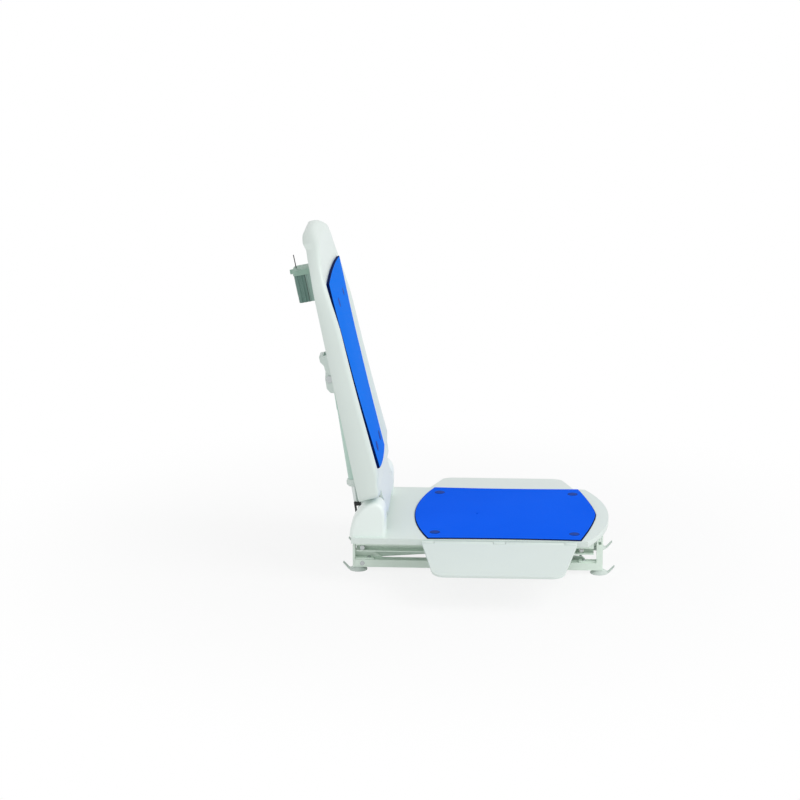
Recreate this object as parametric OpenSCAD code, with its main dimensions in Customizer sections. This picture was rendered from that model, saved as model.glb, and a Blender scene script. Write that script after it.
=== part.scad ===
// Reclining bath lift: a scissor base on suction cups carries a padded seat with two
// folding side flaps and a reclining backrest with its drive strut and hand control.
// X runs forward from the backrest to the feet, Y to the sitter's left, Z up.
// The lift is drawn lowered, with the backrest at its upright stop.

/* [Scissor lift] */
// Length of a scissor arm between its end pivots
arm_len = 460; // [430:5:465]
// Height of an arm's bar
arm_h = 18; // [14:1:19]
// Thickness of an arm's bar
arm_t = 8; // [6:0.5:9]
// Rise of the first arms' bars above the line of their pivots
arm_crank = 14; // [6:1:15]
// Distance forward of the origin of the fixed arm pivots
pivot_x = -184; // [-188:1:-178]
// Height of the fixed base pivots above the bath floor
base_pivot_z = 16; // [15:0.5:18]
// Height of the seat pivots above the base pivots when lowered
lowered_rise = 34; // [33:0.5:36]
// Diameter of the pivot shafts
shaft_d = 10; // [8:0.5:10]
// Diameter of the roller axles
axle_d = 6; // [4:0.5:7]
// Length of a roller
roller_len = 12; // [9:1:14]
// Outside diameter of the cross tubes
cross_tube_d = 16; // [12:1:18]
// Wall of the cross tubes
cross_tube_wall = 2; // [1:0.5:3]

/* [Base] */
// Width over the base rails
base_w = 190; // [186:2:210]
// Width of a rail channel
rail_w = 21; // [20:0.5:23]
// Height of a rail channel
rail_h = 16; // [15.5:0.5:17]
// Wall of a rail channel
rail_wall = 2.5; // [2:0.25:3]
// Rear end of the rails
rail_rear_x = -199; // [-203:1:-197]
// Front end of the rails
rail_front_x = 306; // [300:1:312]
// Thickness of the plate across the rear of the base
rear_plate_t = 5; // [3:0.5:6]
// Height of the bars across both ends of the base
end_bar_h = 10; // [6:1:11]
// Height of the two upstands at the rear end
rear_upstand_h = 47; // [30:1:60]
// Length of the posts at the front end
post_len = 13; // [11:1:16]
// Rivet shank diameter
rivet_d = 5; // [3:0.5:6]

/* [Suction cups] */
// Diameter of a suction cup
cup_d = 38; // [34:1:42]
// Diameter of the neck that holds a cup in its rail
cup_neck_d = 8; // [6:0.5:10]
// Reach of a release tab from the middle of its cup
tab_reach = 32; // [26:1:36]
// Width of a release tab
tab_w = 10; // [6:1:16]

/* [Seat] */
// Width of the seat plate
seat_w = 374; // [366:2:390]
// Rear edge of the seat plate
seat_rear_x = -201; // [-206:1:-199]
// Foremost point of the seat plate
seat_front_x = 332; // [326:1:344]
// Depth of the curve at the seat's front edge
seat_bulge = 47; // [35:1:52]
// Height of the seat plate's top
seat_top_z = 100; // [98:0.5:104]
// Thickness of the seat plate at its ribs
seat_t = 12; // [11:0.5:13]
// Thickness left over the pockets and under the cover
seat_skin = 4; // [3:0.5:5]

/* [Seat cover] */
// Middle of the seat cover
cover_x = 114; // [108:1:118]
// Length of the cover's straight sides
cover_side = 314; // [290:2:320]
// Curve of the cover's ends
cover_bulge = 34.5; // [20:0.5:38]
// Width of the cover
cover_w = 366; // [340:2:366]
// Thickness of a cover at its edge
cover_t = 6; // [5:0.5:8]
// Rise of a cover from its edge to its middle
cover_crown = 2; // [1:0.5:4]
// Draw-in of a cover's sides between the corners
cover_draw = 4; // [0:0.5:5]
// Diameter of the cover studs
stud_d = 22; // [16:1:26]
// Diameter of the drain hole
drain_d = 6; // [4:0.5:10]

/* [Flaps] */
// Length of a flap along its hinge
flap_len = 317; // [280:1:324]
// Length of a flap along its outer edge
flap_edge = 260; // [220:4:276]
// Width of a flap from hinge to outer edge
flap_w = 155; // [120:1:165]
// Thickness of a flap
flap_t = 5; // [4:0.5:6]
// Corner radius of a flap
flap_r = 28; // [15:1:40]
// Droop of a flap at rest
flap_droop = 7.5; // [4:0.5:10]
// Diameter of the flap hinge barrels
barrel_d = 9; // [8:0.5:10]
// Diameter of the flap hinge pins
flap_pin_d = 4; // [3:0.5:5]

/* [Backrest] */
// Distance forward of the origin of the recline axis
hinge_x = -146; // [-150:1:-142]
// Height of the recline axis above the bath floor
hinge_z = 134; // [132:0.5:138]
// Tilt of the back's face from upright, at the upright stop
back_tilt = 15; // [13:0.5:17]
// Length of the back above the recline axis
back_top = 606; // [598:2:620]
// Width of the tongue that reaches down between the hinge ears
waist_w = 236; // [220:2:240]
// Width of the back above the hinge ears
back_low_w = 348; // [340:2:352]
// Width of the back at the shoulders
shoulder_w = 356; // [352:2:364]
// Distance of the lower face in front of the recline axis
back_front = 16; // [15:0.5:17]
// Forward curve of the face at the head
head_lean = 12; // [8:0.5:14]
// Height of the raised rims beside the cover
rim_h = 10; // [4:0.5:12]
// Depth of the back at its lower end
back_deep = 45; // [43:0.5:47]
// Depth of the back at the head, less the curve of its face
back_thin = 15.2; // [14:0.2:17]
// Wall of the back's mouldings
back_wall = 4; // [3:0.25:5]
// Wall of the two rear covers
rear_cover_t = 3; // [2:0.25:4]
// Width of the open bay that holds the drive strut
bay_w = 100; // [96:2:110]
// Radius of the rounded lower end
heel_r = 17; // [16:0.5:18]
// Diameter of the recline pins
recline_pin_d = 12; // [8:0.5:14]

/* [Back cover] */
// Width of the back cover at its lower end
pad_low_w = 176; // [150:2:190]
// Width of the back cover at mid height
pad_mid_w = 240; // [210:2:250]
// Width of the back cover at its top corners
pad_top_w = 288; // [250:2:290]
// Height of the cover's lower edge above the recline axis
pad_low_z = 86; // [82:1:100]
// Height of the cover's top corners above the recline axis
pad_high_z = 500; // [470:2:502]
// Rise of the cover's curved top and lower edges
pad_arch = 7; // [3:1:10]

/* [Drive strut] */
// Distance forward of the origin of the strut's upper pivot
strut_x = -241; // [-245:1:-238]
// Height of the strut's upper pivot above the bath floor
strut_z = 392; // [380:1:400]
// Outside diameter of the strut's tube
tube_d = 22; // [20:0.5:24]
// Length of the tube above the upper pivot
tube_up = 82; // [81:0.5:84]
// Length of the tube below the upper pivot
tube_down = 235; // [215:1:235]
// Outside diameter of the push rod
rod_d = 15; // [12:0.5:16]
// Diameter of the spindle in the push rod
spindle_d = 10; // [9:0.5:10.5]
// Push rod that shows below the tube
rod_out = 36; // [36:0.5:44]
// Motor diameter
motor_d = 24; // [18:1:24]

/* [Hand control] */
// Depth of the hand control behind its holder
hand_d = 47; // [45:0.2:50]
// Width of the hand control
hand_w = 56; // [48:1:64]
// Height of the hand control's case
hand_h = 58; // [54:1:64]
// Height of its cap
hand_cap_h = 11; // [9:1:14]
// Length of the hanger wire
wire_len = 29; // [15:1:40]

/* [Hidden] */
$fn = 64;
// Radial clearance of running fits
run = 0.05;
// Gap between parts that slide or rest on each other
gap = 0.3;
// Clearance kept between parts that pass each other
pass = 1;

lowered_angle = asin(lowered_rise / arm_len);
seat_pivot_z = base_pivot_z + lowered_rise;
seat_under_z = seat_top_z - seat_t;
roller_x = pivot_x + arm_len * cos(lowered_angle);
roller_d = rail_h - 2 * rail_wall - 2 * gap;
lift_travel = 52;
raised_roller_x = pivot_x + arm_len * cos(lowered_angle + lift_travel);

rail_out = base_w / 2;
rail_in = rail_out - rail_w;
rail_z = base_pivot_z - rail_h / 2;
rail_top = rail_z + rail_h;
bracket_t = 3;
bracket_in = rail_in - bracket_t;
arm_a_out = bracket_in - pass;
arm_a_in = arm_a_out - arm_t;
arm_b_out = arm_a_in - 4 * pass;
arm_b_in = arm_b_out - arm_t;
axle_end = rail_out - rail_wall - 1.5 * pass;
roller_out = axle_end - 2 * pass;

rivet_y = rail_out - rail_w / 2;
tongue_w = 14;
tongue_t = 3;
rear_tongue = 39;
front_tongue = 36;
rivet_inset = 10;
rivet_head_d = 1.8 * rivet_d;
rivet_head_h = 2.5;
post_front_x = rail_front_x + post_len;
end_bar_t = 9;
window_w = 6;
window_h = 16;
window_top = 7.5;

cup_y = rail_out - rail_w / 2;
cup_h = rail_z;
cup_rear_x = rail_rear_x + cup_neck_d / 2 + 2;
cup_front_x = rail_front_x + post_len / 2;
cup_neck_h = rail_wall;

seat_r = (pow(seat_w / 2, 2) + pow(seat_bulge, 2)) / (2 * seat_bulge);
recess = seat_t - 2 * seat_skin;
cover_z = seat_top_z - recess;
recess_gap = 1;
stud_inset_x = 13;
stud_inset_y = 40;
stud_dx = cover_side / 2 - stud_inset_x;
stud_dy = cover_w / 2 - stud_inset_y;
drain_x = 54;
drain_y = -14;
notch_w = 32;
notch_depth = 22;
rail_seat_rear = rail_rear_x + 3;
rail_seat_front = rail_front_x - 6;
seat_cheek = 28;
screw_d = 4;
screw_head_d = 8;
screw_head_h = 2.5;
rail_screw_x = [-150, 0, 140, 285];

ear_in = waist_w / 2 + 3;
ear_w = 57;
ear_out = ear_in + ear_w;
ear_front = 15;
ear_rear = 59;
ear_top = 38;
ear_slope = 30;
ear_screw_x = [hinge_x - ear_rear + 2 * screw_d, hinge_x + ear_front - screw_d];

flap_x = 104;
flap_y = seat_w / 2 + barrel_d / 2 + 1.5;
flap_z = seat_top_z - 6;
flap_root = barrel_d / 2 + pass;
lug_len = 24;
lug_x = [-flap_len / 2 + lug_len / 2, 0, flap_len / 2 - lug_len / 2];
knuckle_len = flap_len / 2 - 1.5 * lug_len - 2 * pass;
knuckle_x = [-1, 1] * (lug_len / 2 + pass + knuckle_len / 2);

notch_z = 46;
waist_z = 150;
shoulder_z = 340;
arch_z = 450;
arch_power = 0.85;
lean_z = 150;
head_drop = 36;
head_z = back_top - head_drop;
heel_top = 34;
lip = 6;
rim_w = 24;
rim_gap = 1;
rim_low = 60;
rim_high = 520;
rear_low = back_front - back_deep;
rear_low_z = 39;
rear_top = back_front - back_thin;
rear_top_z = 536;
rear_angle = atan((rear_top - rear_low) / (rear_top_z - rear_low_z));
cover_drop = 42;
cover_top_z = back_top - cover_drop;
hollow_z = 36;
hollow_drop = 40;
hollow_top = back_top - hollow_drop;
pin_inset = 26;

pad_mid_z = 300;
pad_flare_z = 90;
back_stud_y = [55, 42];
back_stud_z = [441, 122];

strut_dx = pivot_x - strut_x;
strut_dz = strut_z - base_pivot_z;
strut_tilt = atan(strut_dx / strut_dz);
strut_len = norm([strut_dx, strut_dz]);
cheek_in = tube_d / 2 + 5;
cheek_t = 6;
cheek_out = cheek_in + cheek_t;
bush_d = 14;
trunnion_d = 8;
strap_in = tube_d / 2 + 1.5;
strap_t = 3;
strap_half = 10;
strap_up = 12;
strap_down = 64;
strap_bridge = 20;
band_d = tube_d + 2;
band_h = 16;
collar_d = tube_d + 5;
collar_h = 15;
bracket_low = -290;
bracket_high = -207;
bracket_w = bay_w + 28;
bracket_back = 36;
bracket_skin = 4;
cheek_bend = 34;
cheek_hip = 50;
boss_x = -24;
boss_z = -257;
boss_d = 15;
boss_shank_d = 6;
gearbox_low = 56;
gearbox_h = tube_up - gearbox_low;
gearbox_x = tube_d / 2 + 2;
motor_z = 71;
motor_y = tube_d / 2 + 3;
motor_len = 32;
fork_bar = 8.2;
fork_strip = 3;
fork_x = 7;
fork_y = 8;
saddle_x = 9;
saddle_h = 14;
saddle_bite = 1.6;
stem_d = 6;
stem_len = 270;

hand_gap = 0.6;
holder_t = 4;
holder_low = -105;
holder_high = -25;
holder_w = bay_w + 20;
hand_low = -86;
hand_front = -holder_t - hand_gap;
hand_back = hand_front - hand_d;
hand_top = hand_low + hand_h;
hand_wall = 4;
hand_r = 10;
flute_r = 3;
flute_pitch = 9;
flute_count = 4;
neck_w = 16;
neck_t = 5;
head_w = 28;
head_t = 4;
tongue_low = -82;
tongue_high = -44;
rocker_w = 17.2;
rocker_h = 30;
rocker_t = 5;
rocker_pin_d = 3;
rocker_z = -57;
rocker_axis = hand_back + 1;
rocker_room = 2.5;

white = [0.93, 0.96, 0.94];
pale = [0.80, 0.86, 0.82];
steel = [0.72, 0.75, 0.76];
blue = [0.06, 0.38, 0.95];
navy = [0.05, 0.30, 0.72];
grey = [0.40, 0.50, 0.46];
dark = [0.10, 0.10, 0.11];

// Placing and drawing helpers

// Shapes are drawn on the left and mirrored for the right
module side(left) {
    mirror([0, left ? 0 : 1, 0]) children();
}

module both() {
    for (s = [true, false]) side(s) children();
}

module bar(x0, x1, y0, y1, z0, z1) {
    translate([x0, y0, z0]) cube([x1 - x0, y1 - y0, z1 - z0]);
}

// Round bar across the lift, from y0 to y1
module rod_y(d, y0, y1, x = 0, z = 0) {
    translate([x, y0, z]) rotate([-90, 0, 0]) cylinder(d = d, h = y1 - y0);
}

// Outline in X and Z, extruded from y0 to y1
module plate_xz(y0, y1) {
    translate([0, y1, 0]) rotate([90, 0, 0]) linear_extrude(y1 - y0) children();
}

// Outline in Y and Z, extruded from x0 to x1
module plate_yz(x0, x1) {
    translate([x0, 0, 0]) rotate([90, 0, 90]) linear_extrude(x1 - x0) children();
}

// Frame of the backrest: origin on the recline axis, Z up the face, X out of it
module on_back() {
    translate([hinge_x, 0, hinge_z]) rotate([0, -back_tilt, 0]) children();
}

// Frame of the back's rear surface: origin at the top of its slope, -X to the rear
module on_rear() {
    on_back() translate([rear_top, 0, rear_top_z]) rotate([0, rear_angle, 0]) children();
}

// Frame of the strut: origin on its upper pivot, Z up along the tube
module on_strut() {
    translate([strut_x, 0, strut_z]) rotate([0, -strut_tilt, 0]) children();
}

function smooth(t) = let (u = min(max(t, 0), 1)) u * u * (3 - 2 * u);
function arc(c, r, a0, a1, n) = [for (i = [0:n]) let (a = a0 + (a1 - a0) * i / n)
    [c.x + r * cos(a), c.y + r * sin(a)]];
function both_halves(right) = concat(right,
    [for (i = [len(right) - 1:-1:0]) [-right[i].x, right[i].y]]);

// Soft covers

// Rings of [inset, height] from the underside to the crown, as shares of the sizes
function cover_levels(t, c, h) = [[2, 0], [0.3, 0.25 * t], [0, 0.5 * t], [0.8, 0.8 * t],
    [3, t], [0.10 * h, t + 0.3 * c], [0.35 * h, t + 0.7 * c], [0.68 * h, t + 0.95 * c]];

// Crowned pad on an outline, with rounded edges, lying on z = 0 or on the curved face
module crowned_pad(outline, middle, half, curved = false) {
    n = len(outline);
    levels = cover_levels(cover_t, cover_crown, min(half.x, half.y));
    m = len(levels);
    flat = concat([for (v = levels) for (p = outline)
        [middle.x + (p.x - middle.x) * (1 - v[0] / half.x),
         middle.y + (p.y - middle.y) * (1 - v[0] / half.y), v[1]]],
        [[middle.x, middle.y, 0], [middle.x, middle.y, cover_t + cover_crown]]);
    points = [for (p = flat) [p.x, p.y, p.z + (curved ? face(p.y) : 0)]];
    walls = [for (k = [0:m - 2]) for (i = [0:n - 1]) let (j = (i + 1) % n)
        each [[k * n + i, (k + 1) * n + j, k * n + j], [k * n + i, (k + 1) * n + i, (k + 1) * n + j]]];
    under = [for (i = [0:n - 1]) [i, (i + 1) % n, m * n]];
    crown = [for (i = [0:n - 1]) [(m - 1) * n + (i + 1) % n, (m - 1) * n + i, m * n + 1]];
    polyhedron(points, concat(walls, under, crown));
}

// Seat cover seen from above: a pointed front, a round rear, long sides drawn in between the corners
function seat_cover_outline(grow = 0) = let (
        hw = cover_w / 2 + grow,
        hs = cover_side / 2 + grow,
        front = [for (i = [-6:6]) let (t = i / 6)
            [cover_x + hs + cover_bulge * (1 - pow(abs(t), 1.4)), hw * t]],
        rear = [for (i = [-6:6]) let (t = i / 6) [cover_x - hs - cover_bulge * (1 - t * t), -hw * t]],
        edge = [for (i = [1:9]) let (t = i / 5 - 1) [cover_x - t * hs, hw - cover_draw * (1 - t * t)]])
    concat(front, edge, rear, [for (p = edge) [2 * cover_x - p.x, -p.y]]);

// Half width of the back cover at a height above the recline axis
function pad_half(z) = pad_low_w / 2
    + (pad_mid_w - pad_low_w) / 2 * min(max((z - pad_flare_z) / (pad_mid_z - pad_flare_z), 0), 1)
    + (pad_top_w - pad_mid_w) / 2 * smooth((z - pad_mid_z) / (pad_high_z - pad_mid_z));

function back_cover_outline(grow = 0) = both_halves(concat(
    [for (i = [1:4]) let (t = i / 4)
        [t * (pad_half(pad_low_z) + grow), pad_low_z - grow - pad_arch * (1 - t * t)]],
    [for (i = [1:14]) let (z = pad_low_z + (pad_high_z - pad_low_z) * i / 14) [pad_half(z) + grow, z]],
    [for (i = [5:-1:1]) let (t = i / 6)
        [t * (pad_half(pad_high_z) + grow), pad_high_z + grow + pad_arch * (1 - t * t)]]));

// Base

module base_rail(left) {
    color(white) side(left) difference() {
        union() {
            bar(rail_rear_x, rail_front_x, rail_out - rail_wall, rail_out, rail_z, rail_top);
            for (z = [rail_z, rail_top - rail_wall])
                bar(rail_rear_x, rail_front_x, rail_in, rail_out, z, z + rail_wall);
        }
        rod_y(shaft_d, rail_in, rail_out + 1, pivot_x, base_pivot_z);
        translate([cup_rear_x, cup_y, rail_z - 1]) cylinder(d = cup_neck_d, h = rail_wall + 2);
        for (x = [rail_rear_x + rear_tongue - rivet_inset, rail_front_x - front_tongue + rivet_inset])
            translate([x, rivet_y, rail_top - rail_wall - 1]) cylinder(d = rivet_d, h = rail_wall + 2);
    }
}

// Plate that carries the base shaft beside the rail, cut back in front to clear the arms
module pivot_bracket(left) {
    top = seat_pivot_z - rail_h / 2 - pass;
    slope = [47, 63];
    color(white) side(left) difference() {
        plate_xz(bracket_in, rail_in) polygon([
            [rail_rear_x, rail_z], [rail_rear_x, top], [rail_rear_x + 29, top],
            [rail_rear_x + slope[0], top - 10], [rail_rear_x + slope[1], rail_z + 10],
            [rail_rear_x + slope[1], rail_z]]);
        rod_y(shaft_d, bracket_in - 1, rail_in + 1, pivot_x, base_pivot_z);
    }
}

module rivet_tongue(x0, x1, x) {
    difference() {
        bar(x0, x1, rivet_y - tongue_w / 2, rivet_y + tongue_w / 2, rail_top, rail_top + tongue_t);
        translate([x, rivet_y, rail_top - 1]) cylinder(d = rivet_d, h = tongue_t + 2);
    }
}

module base_rear_end() {
    x = rail_rear_x - rear_plate_t;
    color(white) {
        bar(x, rail_rear_x, -rail_out, rail_out, rail_z, rail_z + end_bar_h);
        both() bar(x, rail_rear_x, bracket_in, rail_out, rail_z, rail_z + rear_upstand_h);
        both() rivet_tongue(rail_rear_x, rail_rear_x + rear_tongue, rail_rear_x + rear_tongue - rivet_inset);
    }
}

// Front end: a bar between two windowed posts on which the lowered seat rests
module base_front_end() {
    top = seat_under_z - gap;
    window_x = (rail_front_x + post_front_x) / 2;
    color(white) {
        bar(post_front_x - end_bar_t, post_front_x, -rail_in, rail_in, rail_z, rail_z + end_bar_h);
        both() difference() {
            bar(rail_front_x, post_front_x, rail_in, rail_out, rail_z, top);
            bar(window_x - window_w / 2, window_x + window_w / 2, rail_in - 1, rail_out + 1,
                top - window_top - window_h, top - window_top);
            translate([cup_front_x, cup_y, rail_z - 1]) cylinder(d = cup_neck_d, h = cup_neck_h + 1);
        }
        both() rivet_tongue(rail_front_x - front_tongue, rail_front_x,
            rail_front_x - front_tongue + rivet_inset);
    }
}

// Cup with a flat sealing rim, a neck pressed into the base and a lift-up release tab
module suction_cup(left, front) {
    r = cup_d / 2;
    neck = cup_neck_d / 2;
    rim = 3;
    color(pale) side(left) translate([front ? cup_front_x : cup_rear_x, cup_y, rail_z - cup_h]) {
        rotate_extrude() polygon([[0, cup_h + cup_neck_h], [neck, cup_h + cup_neck_h], [neck, cup_h],
            [neck + 5, cup_h], [0.77 * r, 0.6 * cup_h], [r, 1.5], [r, 0], [r - rim, 0],
            [0.64 * r, 0.3 * cup_h], [0.27 * r, 0.52 * cup_h], [0, 0.52 * cup_h]]);
        mirror([front ? 0 : 1, 0, 0]) plate_xz(-tab_w / 2, tab_w / 2)
            polygon([[r - 2, 0.4], [r + 1.5, 1.8], [tab_reach, 15], [tab_reach - 1.2, 16.2],
                [r, 4], [r - 3, 3]]);
    }
}

module base_shaft() {
    color(steel) rod_y(shaft_d, -rail_out, rail_out, pivot_x, base_pivot_z);
}

module base_rivets() {
    color(steel) both()
        for (x = [rail_rear_x + rear_tongue - rivet_inset, rail_front_x - front_tongue + rivet_inset])
            translate([x, rivet_y, rail_top - rail_wall]) {
                cylinder(d = rivet_d, h = rail_wall + tongue_t);
                translate([0, 0, rail_wall + tongue_t])
                    cylinder(d1 = rivet_head_d, d2 = rivet_d, h = rivet_head_h);
            }
}

// Scissor arms

// Straight bar with round ends
module straight_bar() {
    translate([0, -arm_h / 2]) square([arm_len, arm_h]);
    for (x = [0, arm_len]) translate([x, 0]) circle(d = arm_h);
}

// Bar that runs above its pivots, with a lug down to each of them
module cranked_bar() {
    r = arm_h / 2;
    end = 40;
    translate([end - 1, arm_crank - r]) square([arm_len - 2 * end + 2, arm_h]);
    for (x = [0, arm_len / 2, arm_len]) translate([x, 0]) circle(r = r);
    for (s = [0, 1]) translate([s * arm_len, 0]) mirror([s, 0])
        polygon([[0, -r], [end, arm_crank - r], [end, arm_crank + r], [0.6 * end, arm_crank + r],
            [-0.7 * r, 0.7 * r]]);
    translate([arm_len / 2, 0]) polygon([[-r, 0], [r, 0], [2.5 * r, arm_crank], [-2.5 * r, arm_crank]]);
}

// Arm lying along X from its first pivot, with a bore at each end and in the middle
module arm(y0, y1, first_d, middle_d, last_d) {
    difference() {
        plate_xz(y0, y1) children();
        rod_y(first_d, y0 - 1, y1 + 1);
        rod_y(middle_d, y0 - 1, y1 + 1, arm_len / 2);
        rod_y(last_d, y0 - 1, y1 + 1, arm_len);
    }
}

module on_arm_a() {
    translate([pivot_x, 0, base_pivot_z]) rotate([0, -lowered_angle, 0]) children();
}

module on_arm_b() {
    translate([pivot_x, 0, seat_pivot_z]) rotate([0, lowered_angle, 0]) children();
}

module arm_a(left) {
    running = shaft_d + 2 * run;
    color(pale) side(left) on_arm_a() arm(arm_a_in, arm_a_out, running, running, axle_d)
        cranked_bar();
}

module arm_b(left) {
    color(pale) side(left) on_arm_b() arm(arm_b_in, arm_b_out, shaft_d + 2 * run, shaft_d, axle_d)
        straight_bar();
}

module cross_tube(x, half) {
    difference() {
        rod_y(cross_tube_d, -half, half, x);
        rod_y(cross_tube_d - 2 * cross_tube_wall, -half - 1, half + 1, x);
    }
}

module arm_a_tube() {
    color(pale) on_arm_a() translate([0, 0, arm_crank]) cross_tube(0.826 * arm_len, arm_a_in);
}

module arm_b_tube() {
    color(pale) on_arm_b() cross_tube(0.25 * arm_len, arm_b_in);
}

module upper_axle() {
    color(steel) rod_y(axle_d, -axle_end, axle_end, roller_x, seat_pivot_z);
}

module lower_axle() {
    color(steel) rod_y(axle_d, -axle_end, axle_end, roller_x, base_pivot_z);
}

module centre_shaft() {
    color(steel) rod_y(shaft_d, -arm_a_out - pass / 2, arm_a_out + pass / 2,
        (pivot_x + roller_x) / 2, (base_pivot_z + seat_pivot_z) / 2);
}

module roller(left, z) {
    color(white) side(left) difference() {
        rod_y(roller_d, roller_out - roller_len, roller_out, roller_x, z);
        rod_y(axle_d + 2 * run, roller_out - roller_len - 1, roller_out + 1, roller_x, z);
    }
}

// Seat

module seat_outline() {
    intersection() {
        translate([seat_rear_x, -seat_w / 2]) square([seat_front_x - seat_rear_x, seat_w]);
        translate([seat_front_x - seat_r, 0]) circle(r = seat_r, $fn = 180);
    }
}

module seat_plate() {
    pocket = 6;
    pocket_top = seat_under_z + seat_skin;
    pocket_front = seat_front_x - seat_bulge - 18;
    color(white) difference() {
        union() {
            translate([0, 0, seat_under_z]) linear_extrude(seat_t) seat_outline();
            both() for (x = lug_x) {
                translate([flap_x + x - lug_len / 2, flap_y, flap_z]) rotate([0, 90, 0])
                    cylinder(d = barrel_d, h = lug_len);
                bar(flap_x + x - lug_len / 2, flap_x + x + lug_len / 2, seat_w / 2 - 2, flap_y,
                    flap_z - flap_pin_d / 2, flap_z + flap_pin_d / 2);
            }
        }
        translate([0, 0, cover_z]) linear_extrude(recess + 1) polygon(seat_cover_outline(recess_gap));
        bar(rail_seat_rear + seat_cheek + pocket, pocket_front, -bracket_in + pocket, bracket_in - pocket,
            seat_under_z - 1, pocket_top);
        both() bar(hinge_x + ear_front + pocket, pocket_front, rail_out + pocket, seat_w / 2 - pocket,
            seat_under_z - 1, pocket_top);
        bar(seat_rear_x - 1, seat_rear_x + notch_depth, -notch_w / 2, notch_w / 2,
            seat_under_z - 1, seat_top_z + 1);
        translate([drain_x, drain_y, seat_under_z]) cylinder(d = drain_d, h = seat_t);
        both() translate([flap_x - flap_len / 2 - 1, flap_y, flap_z]) rotate([0, 90, 0])
            cylinder(d = flap_pin_d, h = flap_len + 2);
        both() for (x = rail_screw_x) translate([x, rivet_y, seat_under_z - 1])
            cylinder(d = screw_d, h = seat_skin + 1);
        both() for (x = ear_screw_x) translate([x, ear_in + ear_w / 2, seat_under_z - 1])
            cylinder(d = screw_d, h = seat_t + 2);
    }
}

// Box rail under the seat with an open channel at its foot. The upper rollers run in the
// channel, their axle passes a slot in its inner wall, and the rear end holds the pivot pin.
module seat_rail(left) {
    low = seat_pivot_z - rail_h / 2;
    slot = axle_d / 2 + pass;
    color(white) side(left) difference() {
        union() {
            bar(rail_seat_rear, rail_seat_front, rail_in, rail_in + rail_wall, low, seat_under_z);
            bar(rail_seat_rear, rail_seat_front, rail_out - rail_wall, rail_out,
                low + rail_h - rail_wall, seat_under_z);
            for (z = [low, low + rail_h - rail_wall, seat_under_z - rail_wall])
                bar(rail_seat_rear, rail_seat_front, rail_in, rail_out, z, z + rail_wall);
            bar(rail_seat_rear, rail_seat_rear + seat_cheek, bracket_in, rail_in, low, seat_under_z);
        }
        rod_y(shaft_d, bracket_in - 1, rail_in + rail_wall + 1, pivot_x, seat_pivot_z);
        bar(raised_roller_x - slot, roller_x + slot, rail_in - 1, rail_in + rail_wall + 1,
            seat_pivot_z - slot, seat_pivot_z + slot);
        for (x = rail_screw_x) translate([x, rivet_y, seat_under_z - rail_wall - 1])
            cylinder(d = screw_d, h = rail_wall + 2);
    }
}

module seat_pivot_pins() {
    color(steel) both() rod_y(shaft_d, arm_b_in - pass, rail_out, pivot_x, seat_pivot_z);
}

module seat_screws() {
    color(steel) both() {
        for (x = rail_screw_x) translate([x, rivet_y, seat_under_z - rail_wall - screw_head_h]) {
            cylinder(d = screw_head_d, h = screw_head_h);
            cylinder(d = screw_d, h = screw_head_h + rail_wall + seat_skin);
        }
        for (x = ear_screw_x) translate([x, ear_in + ear_w / 2, seat_under_z - screw_head_h]) {
            cylinder(d = screw_head_d, h = screw_head_h);
            cylinder(d = screw_d, h = screw_head_h + seat_t + 8);
        }
    }
}

// Hollow block at a rear corner of the seat that holds one end of the recline axis
module hinge_ear(left) {
    foot = seat_top_z - hinge_z;
    color(white) translate([hinge_x, 0, hinge_z]) side(left) difference() {
        plate_xz(ear_in, ear_out) polygon([[-ear_rear, foot], [ear_front, foot], [ear_front, 10],
            [ear_front - 3, ear_top - 10], [ear_front - 11, ear_top], [ear_front - 25, ear_top - 2],
            [-ear_rear + ear_slope, ear_top - 8],
            [-ear_rear + 17, 18], [-ear_rear + 9, 0]]);
        bar(-ear_rear + 16, ear_front - 8, ear_in + 6, ear_out - 6, foot - 1, -recline_pin_d / 2 - 14);
        rod_y(recline_pin_d, ear_in - 1, ear_out - 4);
        for (x = ear_screw_x) translate([x - hinge_x, ear_in + ear_w / 2, foot - 1])
            cylinder(d = screw_d, h = 9);
    }
}

module recline_pins() {
    color(steel) both() rod_y(recline_pin_d, waist_w / 2 - pin_inset + pass, ear_out - 4, hinge_x, hinge_z);
}

module seat_stud_places() {
    for (x = [-1, 1], y = [-1, 1]) translate([cover_x + x * stud_dx, y * stud_dy, 0]) children();
}

module seat_cover() {
    color(blue) translate([0, 0, cover_z + gap]) difference() {
        crowned_pad(seat_cover_outline(), [cover_x, 0], [cover_side / 2 + cover_bulge, cover_w / 2]);
        seat_stud_places() translate([0, 0, -1]) cylinder(d = stud_d + 2 * gap, h = 3 * cover_t);
        translate([drain_x, drain_y, -1]) cylinder(d = drain_d, h = 3 * cover_t);
    }
}

module seat_cover_studs() {
    color(navy) translate([0, 0, cover_z]) seat_stud_places() cylinder(d = stud_d, h = cover_t + 1);
}

// Flaps

module flap_pins() {
    color(steel) both() translate([flap_x - flap_len / 2, flap_y, flap_z]) rotate([0, 90, 0])
        cylinder(d = flap_pin_d, h = flap_len);
}

// Flap outline: X along the hinge, Y outwards from it, with two rounded outer corners
function flap_outline() = let (
        slope = (flap_len - flap_edge) / 2 / (flap_w - flap_root),
        x = flap_len / 2 - (flap_w - flap_r - flap_root) * slope - flap_r * norm([1, slope]))
    both_halves(concat([[flap_len / 2, flap_root]],
        arc([x, flap_w - flap_r], flap_r, atan(slope), 90, 12)));

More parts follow.
